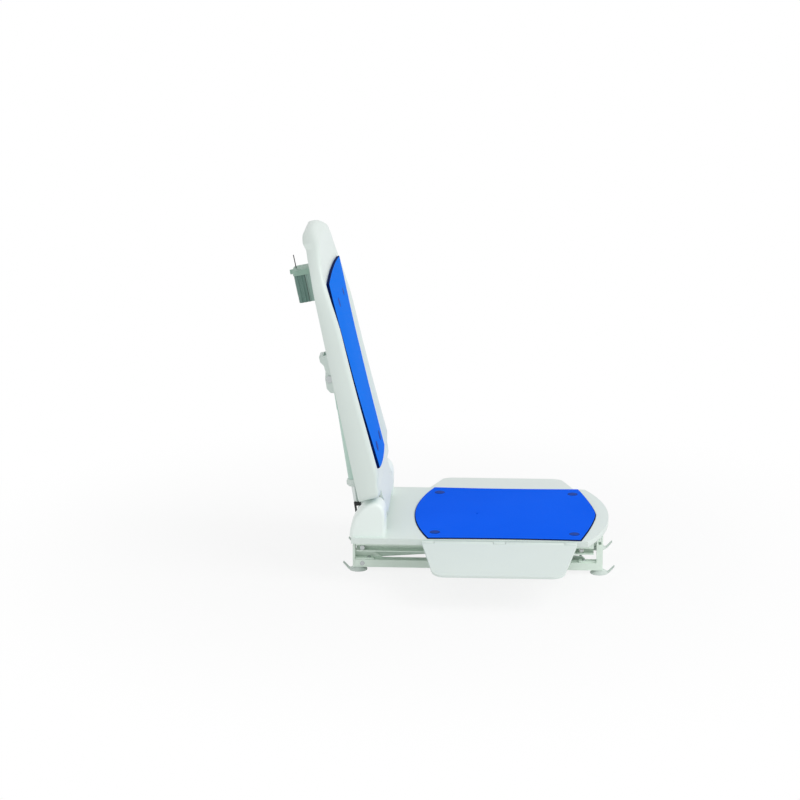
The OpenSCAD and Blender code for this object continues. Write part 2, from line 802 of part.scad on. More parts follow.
module flap(left) {
    color(white) side(left) translate([flap_x, flap_y, flap_z]) rotate([-flap_droop, 0, 0])
        difference() {
            union() {
                translate([0, 0, -flap_t / 2]) linear_extrude(flap_t) polygon(flap_outline());
                for (x = knuckle_x) translate([x - knuckle_len / 2, 0, 0]) {
                    rotate([0, 90, 0]) cylinder(d = barrel_d, h = knuckle_len);
                    translate([0, 0, -flap_t / 2]) cube([knuckle_len, flap_root + 2, flap_t]);
                }
            }
            translate([-flap_len / 2 - 1, 0, 0]) rotate([0, 90, 0])
                cylinder(d = flap_pin_d + 2 * run, h = flap_len + 2);
        }
}

// Backrest

function back_half(z) = back_low_w / 2
    + (shoulder_w - back_low_w) / 2 * smooth((z - waist_z) / (shoulder_z - waist_z));

// Face of the back in its side view, curving forward towards the head
function face(z) = back_front + head_lean * pow(max(0, (z - lean_z) / (head_z - lean_z)), 2);
function face_line(z0, z1, shift = 0) = [for (i = [0:12]) let (z = z0 + (z1 - z0) * i / 12)
    [face(z) + shift, z]];

// Front view of the back: a tongue between the ears, nearly straight sides, arched top
function back_outline(inset = 0) = both_halves(concat(
    [[waist_w / 2 - inset, -2 * heel_r], [waist_w / 2 - inset, notch_z + inset],
        [back_low_w / 2 - 10 - inset, notch_z + inset], [back_low_w / 2 - 3 - inset, notch_z + 3 + inset],
        [back_low_w / 2 - inset, notch_z + 10 + inset]],
    [for (i = [0:6]) let (z = waist_z + (shoulder_z - waist_z) * i / 6) [back_half(z) - inset, z]],
    [for (i = [0:16]) let (a = 90 * i / 16)
        [(shoulder_w / 2 - inset) * pow(cos(a), arch_power),
         arch_z + (back_top - inset - arch_z) * pow(sin(a), arch_power)]]));

// Side view of the back: a tapering wedge with a rounded heel and a head with a rolled lip
module back_profile() {
    polygon(concat([[heel_r, 0]], face_line(heel_top, head_z),
        [[face(head_z) - 3, back_top - 14], [face(head_z) - 11, back_top - 3], [rear_top + 8, back_top],
        [rear_top - 1, back_top - 2], [rear_top - lip, back_top - 9], [rear_top - lip, back_top - 18],
        [rear_top, back_top - 30], [rear_top, rear_top_z], [rear_low, rear_low_z], [-heel_r, 0]]));
    circle(r = heel_r);
}

// Raised rim along the sides of the face, clear of the cover and fading out below the head
module back_rims() {
    intersection() {
        plate_yz(0, 2 * back_deep) difference() {
            polygon(back_outline());
            polygon(back_outline(rim_w));
            polygon(back_cover_outline(rim_gap));
        }
        plate_xz(-shoulder_w, shoulder_w) polygon(concat(face_line(rim_low, rim_high, -1),
            [for (i = [12:-1:0]) let (z = rim_low + (rim_high - rim_low) * i / 12)
                [face(z) + rim_h * min(1, (rim_high - z) / 110, 0.2 + (z - rim_low) / 40), z]]));
    }
}

module back_shell() {
    span = 2 * back_deep;
    color(white) on_back() difference() {
        union() {
            intersection() {
                plate_yz(-span, span) polygon(back_outline());
                plate_xz(-shoulder_w, shoulder_w) back_profile();
            }
            back_rims();
        }
        intersection() {
            plate_yz(-span, span) polygon(back_outline(back_wall));
            plate_xz(-shoulder_w, shoulder_w) polygon(concat([[-span, hollow_z]],
                face_line(hollow_z, hollow_top, -back_wall), [[-span, hollow_top]]));
        }
        bar(-heel_r + 7, heel_r - 5, pin_inset + 4 - waist_w / 2, waist_w / 2 - pin_inset - 4,
            -heel_r / 3, hollow_z + 1);
        both() rod_y(recline_pin_d + 2 * run, waist_w / 2 - pin_inset, waist_w / 2 + 1);
    }
}

// Panel that closes one side of the shell, with a rib down the edge of the open bay
module rear_cover(left) {
    low = rear_low_z + 1;
    slope = (rear_top - rear_low) / (rear_top_z - rear_low_z);
    rear = [[rear_low + slope, low], [rear_top, rear_top_z], [rear_top, cover_top_z]];
    front = face_line(low, cover_top_z, -back_wall - gap);
    color(white) on_back() side(left) difference() {
        intersection() {
            plate_yz(-2 * back_deep, 2 * back_deep) polygon(back_outline(back_wall + gap));
            union() {
                plate_xz(bay_w / 2, shoulder_w) polygon(concat(rear,
                    [for (i = [2:-1:0]) rear[i] + [rear_cover_t, 0]]));
                plate_xz(bay_w / 2, bay_w / 2 + rear_cover_t) polygon(concat(rear,
                    [for (i = [len(front) - 1:-1:0]) front[i]]));
            }
        }
        rear_screw_holes();
    }
}

module back_stud_places() {
    for (i = [0, 1], s = [-1, 1]) translate([face(back_stud_z[i]), s * back_stud_y[i], back_stud_z[i]])
        rotate([0, 90, 0]) children();
}

module back_cover() {
    middle_z = (pad_low_z + pad_high_z) / 2;
    color(blue) on_back() translate([gap, 0, 0]) difference() {
        rotate([90, 0, 90]) crowned_pad(back_cover_outline(), [0, middle_z],
            [pad_mid_w / 2, (pad_high_z - pad_low_z) / 2 + pad_arch], true);
        back_stud_places() translate([0, 0, -1]) cylinder(d = stud_d + 2 * gap, h = 3 * cover_t);
    }
}

module back_cover_studs() {
    color(navy) on_back() back_stud_places() translate([0, 0, 2 * gap]) cylinder(d = stud_d, h = cover_t + 1);
}

// Drive strut and its bracket

// Places of the screws that hold the strut bracket and the hand control's holder
module rear_screw_places() {
    y = bay_w / 2 + 7;
    for (z = [bracket_low + 16, bracket_high - 16])
        translate([-bracket_skin, y, z]) rotate([0, 90, 0]) children();
    for (z = [holder_low + 12, holder_high - 12]) translate([-holder_t, y, z]) rotate([0, 90, 0]) children();
}

// The same places cut through a rear cover, which is drawn in the backrest's frame
module rear_screw_holes() {
    translate([rear_top, 0, rear_top_z]) rotate([0, rear_angle, 0])
        rear_screw_places() cylinder(d = screw_d, h = 12);
}

module actuator_bracket() {
    color(white) difference() {
        on_rear() {
            both() difference() {
                bar(-bracket_skin, 0, cheek_in, bracket_w / 2, bracket_low, bracket_high);
                rear_screw_places() translate([0, 0, -1]) cylinder(d = screw_d, h = bracket_skin + 2);
            }
            both() plate_xz(cheek_in, cheek_out) polygon([[0, bracket_low], [-bracket_back + 20, bracket_low],
                [-bracket_back + 8, bracket_low + 3], [-bracket_back + 2, bracket_low + 13],
                [-bracket_back + 3, bracket_low + cheek_bend], [-bracket_back + 7, bracket_low + cheek_hip],
                [-bracket_back + 6, bracket_high - 20], [-bracket_back, bracket_high - 11],
                [-bracket_back, bracket_high], [0, bracket_high]]);
            bar(-bracket_back, -bracket_back + 2 * bracket_skin, -cheek_out, cheek_out,
                bracket_high - 11, bracket_high);
        }
        rod_y(bush_d + 2 * run, -cheek_out - 1, cheek_out + 1, strut_x, strut_z);
        on_rear() rod_y(boss_shank_d, -cheek_out - 1, cheek_out + 1, boss_x, boss_z);
    }
}

module back_screws() {
    color(steel) {
        on_rear() both() rear_screw_places() {
            translate([0, 0, -screw_head_h]) cylinder(d = screw_head_d, h = screw_head_h);
            cylinder(d = screw_d, h = bracket_skin + rear_cover_t);
        }
        on_rear() both() {
            rod_y(boss_shank_d, cheek_in, cheek_out, boss_x, boss_z);
            rod_y(boss_d, cheek_out, cheek_out + 4, boss_x, boss_z);
        }
    }
}

// Steel cradle on two bushes that turn in the bracket; the tube's trunnions turn inside them
module strut_cradle() {
    out = strap_in + strap_t;
    color(pale) on_strut() difference() {
        union() {
            both() {
                bar(-strap_half, strap_half, strap_in, out, -strap_down, strap_up);
                bar(0, out, strap_in, out, -strap_down, -strap_down + strap_bridge);
                rod_y(bush_d, strap_in, cheek_out - gap);
            }
            bar(strap_in, out, -out, out, -strap_down, -strap_down + strap_bridge);
        }
        rod_y(trunnion_d + 2 * run, -cheek_out - 1, cheek_out + 1);
    }
}

module actuator_tube() {
    bore = rod_d + 2 * run;
    cap = 2.5;
    color(pale) on_strut() difference() {
        union() {
            translate([0, 0, -tube_down]) cylinder(d = tube_d, h = tube_down + tube_up);
            translate([0, 0, -band_h / 2]) cylinder(d = band_d, h = band_h);
            rod_y(trunnion_d, -cheek_out - pass, cheek_out + pass);
        }
        translate([0, 0, -tube_down - 1]) cylinder(d = bore, h = tube_down + tube_up - cap + 1);
    }
}

module end_collar() {
    color(white) on_strut() translate([0, 0, -tube_down]) difference() {
        union() {
            cylinder(d = collar_d, h = collar_h);
            bar(-collar_d / 2 - 2, 0, -4, 4, 3, collar_h - 3);
        }
        translate([0, 0, -1]) cylinder(d = tube_d, h = collar_h + 2);
    }
}

module gearbox() {
    color(pale) on_strut() difference() {
        bar(-gearbox_x, gearbox_x, -gearbox_x, motor_y, gearbox_low, gearbox_low + gearbox_h);
        translate([0, 0, gearbox_low - 1]) cylinder(d = tube_d, h = gearbox_h + 2);
    }
}

module motor() {
    color(steel) on_strut() translate([0, 0, motor_z]) {
        rod_y(motor_d, motor_y, motor_y + motor_len - 6);
        rod_y(motor_d - 6, motor_y, motor_y + motor_len - 2);
        rod_y(6, motor_y, motor_y + motor_len);
    }
}

rod_end = tube_down + rod_out;
rod_top = 42;

module push_rod() {
    color(white) on_strut() translate([0, 0, -rod_end]) difference() {
        cylinder(d = rod_d, h = rod_end + rod_top);
        translate([0, 0, -1]) cylinder(d = spindle_d + 2 * run, h = rod_end + rod_top + 2);
    }
}

module drive_spindle() {
    color(steel) on_strut() translate([0, 0, -rod_end - gap]) difference() {
        cylinder(d = spindle_d, h = rod_end + rod_top - 4 * pass);
        translate([0, 0, -1]) cylinder(d = stem_d + 2 * run, h = stem_len + 5);
    }
}

// Fork on a stem that slides in the spindle, with a saddle that bears on the base shaft from above
module drive_fork() {
    top = -rod_end - 2 * gap;
    saddle_low = -strut_len + shaft_d / 2 - saddle_bite;
    color(dark) on_strut() difference() {
        union() {
            translate([0, 0, top - 1]) cylinder(d = stem_d, h = stem_len + 1);
            bar(-fork_x, fork_x, -fork_y, fork_y, top - fork_bar, top);
            for (x = [-fork_x, fork_x - fork_strip])
                bar(x, x + fork_strip, -fork_y, fork_y, saddle_low + saddle_h - 2, top - fork_bar + 2);
            bar(-saddle_x, saddle_x, -fork_y, fork_y, saddle_low, saddle_low + saddle_h);
        }
        rod_y(shaft_d + 4 * gap / 1.5, -fork_y - 1, fork_y + 1, 0, -strut_len);
    }
}

// Hand control

// Holder on the back of the head, with a T-shaped tongue for the hand control
module handset_holder() {
    color(white) on_rear() difference() {
        union() {
            bar(-holder_t, 0, -holder_w / 2, holder_w / 2, holder_low, holder_high);
            bar(-holder_t - neck_t, -holder_t, -neck_w / 2, neck_w / 2, tongue_low, tongue_high);
            bar(-holder_t - neck_t - head_t, -holder_t - neck_t, -head_w / 2, head_w / 2,
                tongue_low, tongue_high);
        }
        both() rear_screw_places() translate([0, 0, -1]) cylinder(d = screw_d, h = holder_t + 2);
    }
}

// Box with rounded upright edges behind the holder
module hand_box(grow, low, high) {
    x0 = hand_back - grow;
    translate([0, 0, low]) linear_extrude(high - low) {
        for (x = [x0 + hand_r, hand_front - hand_r], y = [-1, 1])
            translate([x, y * (hand_w / 2 + grow - hand_r)]) circle(r = hand_r);
        translate([x0, -hand_w / 2 - grow + hand_r])
            square([hand_front - x0, hand_w + 2 * grow - 2 * hand_r]);
        translate([x0 + hand_r, -hand_w / 2 - grow])
            square([hand_front - x0 - 2 * hand_r, hand_w + 2 * grow]);
    }
}

hand_inner = -holder_t - neck_t - head_t - hand_wall;
rocker_floor = hand_back + rocker_t + rocker_room - 2 * pass;

module handset_case() {
    slack = 0.4;
    color(grey) on_rear() difference() {
        hand_box(0, hand_low, hand_top);
        bar(-holder_t - neck_t, 0, -neck_w / 2 - slack, neck_w / 2 + slack, hand_low - 1, tongue_high + gap);
        bar(-holder_t - neck_t - head_t - slack, -holder_t - neck_t + slack, -head_w / 2 - slack,
            head_w / 2 + slack, hand_low - 1, tongue_high + gap);
        bar(rocker_floor + hand_wall, hand_inner, -hand_w / 2 + hand_wall, hand_w / 2 - hand_wall,
            hand_low + hand_wall, hand_top + 1);
        bar(hand_back - 1, rocker_floor, -rocker_w / 2 - slack, rocker_w / 2 + slack,
            rocker_z - rocker_h / 2 - 2 * slack, rocker_z + rocker_h / 2 + 2 * slack);
        rod_y(rocker_pin_d + 2 * run, -rocker_w / 2 - 3, rocker_w / 2 + 3, rocker_axis + 2 * pass, rocker_z);
        both() for (i = [0:flute_count - 1])
            translate([hand_back + hand_r + flute_pitch * i, hand_w / 2 + flute_r / 2, hand_low - 1])
                cylinder(r = flute_r, h = hand_h + 2);
    }
}

// Lid of the case, with a round cable boss at the rear
module handset_cap() {
    boss_d = 10;
    boss_len = 7;
    color(pale) on_rear() {
        hand_box(pass, hand_top, hand_top + hand_cap_h);
        translate([hand_back - pass - boss_len, 0, hand_top + hand_cap_h / 2]) rotate([0, 90, 0])
            cylinder(d = boss_d, h = boss_len + 1);
    }
}

module handset_battery() {
    color(dark) on_rear() bar(rocker_floor + hand_wall + gap, hand_inner - gap, -hand_w / 2 + hand_wall + gap,
        hand_w / 2 - hand_wall - gap, hand_low + hand_wall, hand_top - 3 * pass);
}

module hanger_wire() {
    wire_d = 2;
    color(dark) on_rear() translate([hand_back + 6, 0, hand_top + hand_cap_h])
        cylinder(d = wire_d, h = wire_len);
}

// Up and down rocker on the hand control's outer face
module rocker_button() {
    color(pale) on_rear() {
        bar(hand_back - 1.5 * pass, hand_back - 1.5 * pass + rocker_t, -rocker_w / 2, rocker_w / 2,
            rocker_z - rocker_h / 2, rocker_z + rocker_h / 2);
        rod_y(rocker_pin_d, -rocker_w / 2 - 2.5, rocker_w / 2 + 2.5, rocker_axis + 2 * pass, rocker_z);
    }
}

base_rail(true);  // base_rail_left
base_rail(false);  // base_rail_right
pivot_bracket(true);  // pivot_bracket_left
pivot_bracket(false);  // pivot_bracket_right
base_rear_end();
base_front_end();
suction_cup(true, false);  // suction_cup_rear_left
suction_cup(false, false);  // suction_cup_rear_right
suction_cup(true, true);  // suction_cup_front_left
suction_cup(false, true);  // suction_cup_front_right
base_shaft();
base_rivets();
arm_a(true);  // arm_a_left
arm_a(false);  // arm_a_right
arm_a_tube();
upper_axle();
arm_b(true);  // arm_b_left
arm_b(false);  // arm_b_right
arm_b_tube();
lower_axle();
centre_shaft();
roller(true, seat_pivot_z);  // upper_roller_left
roller(false, seat_pivot_z);  // upper_roller_right
roller(true, base_pivot_z);  // lower_roller_left
roller(false, base_pivot_z);  // lower_roller_right
seat_plate();
seat_rail(true);  // seat_rail_left
seat_rail(false);  // seat_rail_right
seat_pivot_pins();
seat_screws();
hinge_ear(true);  // hinge_ear_left
hinge_ear(false);  // hinge_ear_right
recline_pins();
seat_cover();
seat_cover_studs();
flap_pins();
flap(true);  // flap_left
flap(false);  // flap_right
back_shell();
rear_cover(true);  // rear_cover_left
rear_cover(false);  // rear_cover_right
back_cover();
back_cover_studs();
actuator_bracket();
back_screws();
handset_holder();
strut_cradle();
actuator_tube();
end_collar();
gearbox();
motor();
push_rod();
drive_spindle();
drive_fork();
handset_case();
handset_cap();
handset_battery();
hanger_wire();
rocker_button();
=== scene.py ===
import math

import bmesh
import bpy
from mathutils import Matrix, Vector


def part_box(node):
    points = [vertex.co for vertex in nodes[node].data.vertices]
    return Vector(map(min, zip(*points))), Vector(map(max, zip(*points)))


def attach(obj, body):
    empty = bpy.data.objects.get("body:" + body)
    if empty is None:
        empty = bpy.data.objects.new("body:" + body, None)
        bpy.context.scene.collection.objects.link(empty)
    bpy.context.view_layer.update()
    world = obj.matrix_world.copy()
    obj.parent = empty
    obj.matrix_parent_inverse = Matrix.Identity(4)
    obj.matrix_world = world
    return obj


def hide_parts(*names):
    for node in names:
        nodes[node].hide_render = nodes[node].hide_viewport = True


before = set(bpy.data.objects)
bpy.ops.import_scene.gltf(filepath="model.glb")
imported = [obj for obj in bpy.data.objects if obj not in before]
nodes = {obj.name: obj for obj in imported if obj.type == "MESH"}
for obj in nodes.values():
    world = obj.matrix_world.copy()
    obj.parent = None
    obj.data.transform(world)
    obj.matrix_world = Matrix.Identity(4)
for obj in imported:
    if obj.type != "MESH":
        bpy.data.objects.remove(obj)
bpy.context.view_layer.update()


# Base frame: two white powder-coated channels with a bar across each end. Side plates at
# the rear carry the steel shaft of the first arms, and rivets hold the ends on the rails.
MM = 0.001
weld_gap = 0.01 * MM
flat_angle = math.radians(0.5)
sharp_angle = math.radians(32)
edge_steps = 2
fleck_share = 0.12
gloss_swing = 0.16
grain_relief = 0.0006
mark_swing = 0.22
mark_base = 0.1
mark_relief = 0.0002


class Socket:
    """Output of a node in one material, with the arithmetic that the finishes are written in."""

    def __init__(self, tree, out=None):
        self.tree = tree
        self.out = out

    def add(self, kind, settings=None, output=0, **inputs):
        node = self.tree.nodes.new("ShaderNode" + kind)
        for key, value in (settings or {}).items():
            setattr(node, key, value)
        for key, value in inputs.items():
            place = int(key[1:]) if key[0] == "i" and key[1:].isdigit() else key.replace("_", " ")
            socket = node.inputs[place]
            if isinstance(value, Socket):
                self.tree.links.new(value.out, socket)
            else:
                socket.default_value = value
        return Socket(self.tree, node.outputs[output] if node.outputs else None)

    def math(self, operation, a, b):
        return self.add("Math", {"operation": operation}, i0=a, i1=b)

    def mix(self, low, high, blend="MIX"):
        """Colour between two colours, by this value."""
        return self.add("MixRGB", {"blend_type": blend}, i0=self, i1=low, i2=high)

    def __add__(self, other):
        return self.math("ADD", self, other)

    __radd__ = __add__

    def __sub__(self, other):
        return self.math("SUBTRACT", self, other)

    def __rsub__(self, other):
        return self.math("SUBTRACT", other, self)

    def __mul__(self, other):
        return self.math("MULTIPLY", self, other)

    __rmul__ = __mul__


def tone(red, green, blue):
    """Linear colour of a screen colour given in 0 to 255."""
    def linear(c):
        c /= 255.0
        return c / 12.92 if c <= 0.04045 else ((c + 0.055) / 1.055) ** 2.4
    return (linear(red), linear(green), linear(blue), 1.0)


def shade(colour, factor):
    return tuple(c * factor for c in colour[:3]) + (1.0,)


def start_finish(name, **constants):
    """A material with its shader's constant values set, and a socket to build on."""
    material = bpy.data.materials.new(name)
    material.use_nodes = True
    shader = material.node_tree.nodes["Principled BSDF"]
    for key, value in constants.items():
        shader.inputs[key.replace("_", " ")].default_value = value
    at = Socket(material.node_tree).add("TexCoord", output="Object")
    return material, shader, at


def feed(shader, **sockets):
    for key, value in sockets.items():
        value.tree.links.new(value.out, shader.inputs[key.replace("_", " ")])


def grained_finish(name, colour, roughness, grain, depth, mottle=0.04, **constants):
    """Moulded or coated surface: cloudy colour, uneven gloss and a fine raised grain."""
    material, shader, at = start_finish(name, **constants)
    cloud = at.add("TexNoise", Vector=at, Scale=9.0, Detail=4.0, Roughness=0.6)
    base = cloud.mix(shade(colour, 1 - mottle), shade(colour, 1 + mottle))
    fleck = at.add("TexNoise", Vector=at, Scale=grain * fleck_share, Detail=3.0)
    gloss = fleck * gloss_swing + (roughness - gloss_swing / 2)
    fine = at.add("TexNoise", Vector=at, Scale=grain, Detail=2.0, Roughness=0.5)
    bump = at.add("Bump", Strength=depth, Distance=grain_relief, Height=fine)
    feed(shader, Base_Color=base, Roughness=gloss, Normal=bump)
    return material


def brushed_finish(name, colour, roughness, stretch):
    """Bare metal with fine tool marks drawn out along one axis."""
    material, shader, at = start_finish(name, Metallic=1.0)
    drawn = at.add("Mapping", Vector=at, Scale=stretch)
    marks = at.add("TexNoise", Vector=drawn, Scale=1.0, Detail=5.0, Roughness=0.7)
    cloud = at.add("TexNoise", Vector=at, Scale=25.0, Detail=3.0)
    base = cloud.mix(shade(colour, 0.86), shade(colour, 1.08))
    bump = at.add("Bump", Strength=0.12, Distance=mark_relief, Height=marks)
    feed(shader, Base_Color=base, Roughness=marks * mark_swing + (roughness - mark_base), Normal=bump)
    return material


def dress(names, finish, rounding):
    """Gives CAD nodes a finish and breaks their sharp edges, rounding in millimetres."""
    for name in names:
        piece = nodes[name]
        piece.data.materials.clear()
        piece.data.materials.append(finish)
        weld = piece.modifiers.new("weld", "WELD")
        weld.merge_threshold = weld_gap
        flat = piece.modifiers.new("flat", "DECIMATE")
        flat.decimate_type = "DISSOLVE"
        flat.angle_limit = flat_angle
        edge = piece.modifiers.new("edge", "BEVEL")
        edge.limit_method = "ANGLE"
        edge.angle_limit = sharp_angle
        edge.width = rounding * MM
        edge.segments = edge_steps
        edge.harden_normals = True


frame_white = grained_finish("frame_white", tone(240, 254, 243), 0.42, 900.0, 0.25)
plain_steel = brushed_finish("plain_steel", tone(190, 196, 196), 0.32, (900.0, 60.0, 900.0))
dress(["base_rail_left", "base_rail_right", "pivot_bracket_left", "pivot_bracket_right",
       "base_rear_end", "base_front_end"], frame_white, 0.8)
dress(["base_shaft", "base_rivets"], plain_steel, 0.4)


# Suction cups: four soft cups of pale grey rubber, pressed into the base by their necks,
# each with a thin tab that lifts its rim off the bath.
cup_rubber = grained_finish("cup_rubber", tone(214, 224, 219), 0.62, 1400.0, 0.2, 0.06)
dress(["suction_cup_rear_left", "suction_cup_rear_right", "suction_cup_front_left",
       "suction_cup_front_right"], cup_rubber, 0.5)


# Scissor arms: flat steel bars in a pale grey-green satin coat, crossing on a steel shaft, with
# a welded cross tube in each pair. Nylon rollers on plain axles run in the rails.
arm_coat = grained_finish("arm_coat", tone(218, 235, 223), 0.4, 1000.0, 0.2)
nylon = grained_finish("nylon", tone(228, 230, 224), 0.5, 700.0, 0.12)
dress(["arm_a_left", "arm_a_right", "arm_a_tube", "arm_b_left", "arm_b_right", "arm_b_tube"],
      arm_coat, 0.8)
dress(["upper_axle", "lower_axle", "centre_shaft"], plain_steel, 0.4)
dress(["upper_roller_left", "upper_roller_right", "lower_roller_left", "lower_roller_right"], nylon, 0.5)


# Seat: a white moulded plate with a curved front, screwed on two open rails. The flaps at its
# sides are moulded in the same white plastic and hinge on steel pins.
white_moulding = grained_finish("white_moulding", tone(222, 233, 228), 0.36, 1100.0, 0.14, 0.02)
dress(["seat_plate"], white_moulding, 1.6)
dress(["seat_rail_left", "seat_rail_right"], frame_white, 0.8)
dress(["seat_pivot_pins", "seat_screws", "recline_pins", "flap_pins"], plain_steel, 0.3)
dress(["flap_left", "flap_right"], white_moulding, 1.8)


# Seat cover: a thin sheet of closed-cell foam in a blue skin, laid in the plate's recess and
# held by four studs that draw it down a little. Its cut edge and the outer rim of its face are
# painted near-black navy as painted shade.
cover_t = 6.0
cover_crown = 2.0
cover_round = 1.8
cover_round_steps = 4
cover_border = 4.5
cover_foot = 0.4
cover_grid = 9.0
cover_shaded_rim = 0.7 * cover_round
swell_rise = 0.25
swell_size = 70.0
swell_border = 12.0
stud_dent = 1.5
stud_dent_reach = 13.0
stud_roll = 0.5
stud_roll_reach = 26.0
seat_cover_x = 114.0
seat_cover_hw = 183.0
seat_cover_hs = 157.0
seat_cover_bulge = 34.5
seat_cover_draw = 4.0
seat_cover_reach = 150.0
nose_power = 1.4
stud_dx = 144.0
stud_dy = 143.0
drain = Vector((54.0, -14.0))
drain_half = 2.5
drain_lip = 0.5
drain_depth = 0.9 * cover_t
end_steps = 24
side_steps = 16
double_gap = 0.005
cut_gap = 0.001
smooth_angle = math.radians(35)


def new_face(mesh, points):
    face = mesh.faces.new([mesh.verts.new(p) for p in points])
    mesh.normal_update()
    return face


def inset_rings(mesh, face, distances):
    """Insets a face step by step, at distances from its outline."""
    done = 0.0
    for distance in distances:
        bmesh.ops.inset_region(mesh, faces=[face], thickness=distance - done, use_even_offset=True,
                               use_boundary=True)
        mesh.normal_update()
        done = distance


def wall_between(mesh):
    """Joins the two open rims of a mesh with a wall."""
    return bmesh.ops.bridge_loops(mesh, edges=[e for e in mesh.edges if e.is_boundary])["faces"]


def cut_across(mesh, faces, axis, places):
    """Cuts faces at places along one axis; returns the pieces."""
    normal = Vector((0.0, 0.0, 0.0))
    normal[axis] = 1.0
    for place in places:
        rim = dict.fromkeys(e for f in faces for e in f.edges)
        dots = dict.fromkeys(v for f in faces for v in f.verts)
        done = bmesh.ops.bisect_plane(mesh, geom=list(faces) + list(rim) + list(dots), dist=cut_gap,
                                      plane_co=normal * place, plane_no=normal)
        faces = [g for g in done["geom"] if isinstance(g, bmesh.types.BMFace)]
    return faces


def to_edge(p, outline):
    """Distance of a flat point from the nearest side of an outline."""
    best = math.inf
    for a, b in zip(outline, outline[1:] + outline[:1]):
        along = b - a
        t = min(max((p - a).dot(along) / along.length_squared, 0.0), 1.0)
        best = min(best, (p - a - along * t).length_squared)
    return math.sqrt(best)


def spaced(low, high, step):
    """Even places between two ends, about a step apart, without the ends."""
    count = max(1, round((high - low) / step))
    return [low + (high - low) * i / count for i in range(1, count)]


def ease(t):
    t = min(max(t, 0.0), 1.0)
    return t * t * (3.0 - 2.0 * t)


def edge_round(distance, radius):
    """Fall of a rounded edge at a distance inside the outline."""
    inside = max(0.0, 1.0 - distance / radius)
    return radius * (1.0 - math.sqrt(1.0 - inside * inside))


def quarter_turn(count):
    """Angles of a quarter circle in even steps."""
    return [math.pi / 2 * i / count for i in range(count + 1)]


def round_rings(radius, count):
    """Distances from the outline of rings that follow a rounded edge."""
    return [radius * (1.0 - math.cos(a)) for a in quarter_turn(count)[1:]]


def add_piece(mesh, name, place, finishes, body, stands_for):
    """Puts a mesh in millimetres into the shared frame as a piece on a body."""
    bmesh.ops.remove_doubles(mesh, verts=mesh.verts, dist=double_gap)
    bmesh.ops.recalc_face_normals(mesh, faces=mesh.faces)
    bmesh.ops.transform(mesh, matrix=place @ Matrix.Scale(MM, 4), verts=mesh.verts)
    data = bpy.data.meshes.new(name)
    mesh.to_mesh(data)
    mesh.free()
    for finish in finishes:
        data.materials.append(finish)
    data.shade_smooth()
    data.set_sharp_from_angle(angle=smooth_angle)
    piece = bpy.data.objects.new(name, data)
    bpy.context.scene.collection.objects.link(piece)
    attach(piece, body)
    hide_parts(*stands_for)
    return piece


def dents(p, places, depth, reach):
    return sum(depth * math.exp(-((p - c).length / reach) ** 2) for c in places)


def swell(u, v, size):
    """Slow unevenness of a foam sheet, from -1 to 1."""
    return (math.sin(u / size + 0.7) * math.cos(v / (0.8 * size) - 0.4)
            + 0.5 * math.sin((u + v) / (0.6 * size) + 1.9)) / 1.5


def cover_height(p, distance, middle_reach, stud_places):
    """Height of a cover's face above its underside at a point and a distance from its edge."""
    crown = cover_crown * ease(distance / middle_reach)
    waves = swell_rise * swell(p.x, p.y, swell_size) * ease(distance / swell_border)
    drawn = dents(p, stud_places, stud_dent, stud_dent_reach)
    rolled = dents(p, stud_places, stud_roll, stud_roll_reach)
    return cover_t + crown - edge_round(distance, cover_round) + waves - drawn + rolled


def cover_sheet(outline, reach, stud_places, hole=None):
    """A cover on the XY plane: rounded rim, crowned and dented face, flat underside."""
    mesh = bmesh.new()
    face = new_face(mesh, [(x, y, 0.0) for x, y in outline])
    inset_rings(mesh, face, round_rings(cover_round, cover_round_steps) + [cover_border])
    xs = [v.co.x for v in face.verts]
    ys = [v.co.y for v in face.verts]
    cuts_x = spaced(min(xs), max(xs), cover_grid)
    cuts_y = spaced(min(ys), max(ys), cover_grid)
    if hole:
        cuts_x += [hole.x - drain_half, hole.x + drain_half]
        cuts_y += [hole.y - drain_half, hole.y + drain_half]
    faces = cut_across(mesh, [face], 0, cuts_x)
    faces = cut_across(mesh, faces, 1, cuts_y)
    sides = [Vector(q) for q in outline]
    inside = {v: to_edge(v.co.xy, sides) for v in mesh.verts}
    for v, distance in inside.items():
        v.co.z = cover_height(v.co.xy, distance, reach, stud_places)
    if hole:
        well = min(faces, key=lambda f: (f.calc_center_median().xy - hole).length)
        bmesh.ops.inset_region(mesh, faces=[well], thickness=drain_lip, use_even_offset=True)
        bmesh.ops.translate(mesh, verts=well.verts, vec=(0.0, 0.0, -drain_depth))
        # The drain's well takes the dark edge finish, painted shade in the hole.
        well.material_index = 1
    sole = new_face(mesh, [(x, y, cover_foot) for x, y in outline])
    inset_rings(mesh, sole, [2 * cover_foot])
    bmesh.ops.translate(mesh, verts=sole.verts, vec=(0.0, 0.0, -cover_foot))
    cut_across(mesh, [sole], 1, spaced(min(ys), max(ys), 2 * cover_grid))
    # The side wall and the outer rim of the face take the dark edge finish, painted shade along the edge.
    for f in wall_between(mesh):
        f.material_index = 1
    for f in mesh.faces:
        if all(inside.get(v, cover_round) < cover_shaded_rim for v in f.verts):
            f.material_index = 1
    return mesh


def seat_cover_outline():
    turns = [i / end_steps for i in range(-end_steps, end_steps + 1)]
    sides = [i / side_steps - 1 for i in range(1, 2 * side_steps)]
    hs, hw, bulge = seat_cover_hs, seat_cover_hw, seat_cover_bulge
    front = [(seat_cover_x + hs + bulge * (1 - abs(t) ** nose_power), hw * t) for t in turns]
    left = [(seat_cover_x - t * hs, hw - seat_cover_draw * (1 - t * t)) for t in sides]
    rear = [(seat_cover_x - hs - bulge * (1 - t * t), -hw * t) for t in turns]
    right = [(seat_cover_x + t * hs, -hw + seat_cover_draw * (1 - t * t)) for t in sides]
    return front + left + rear + right


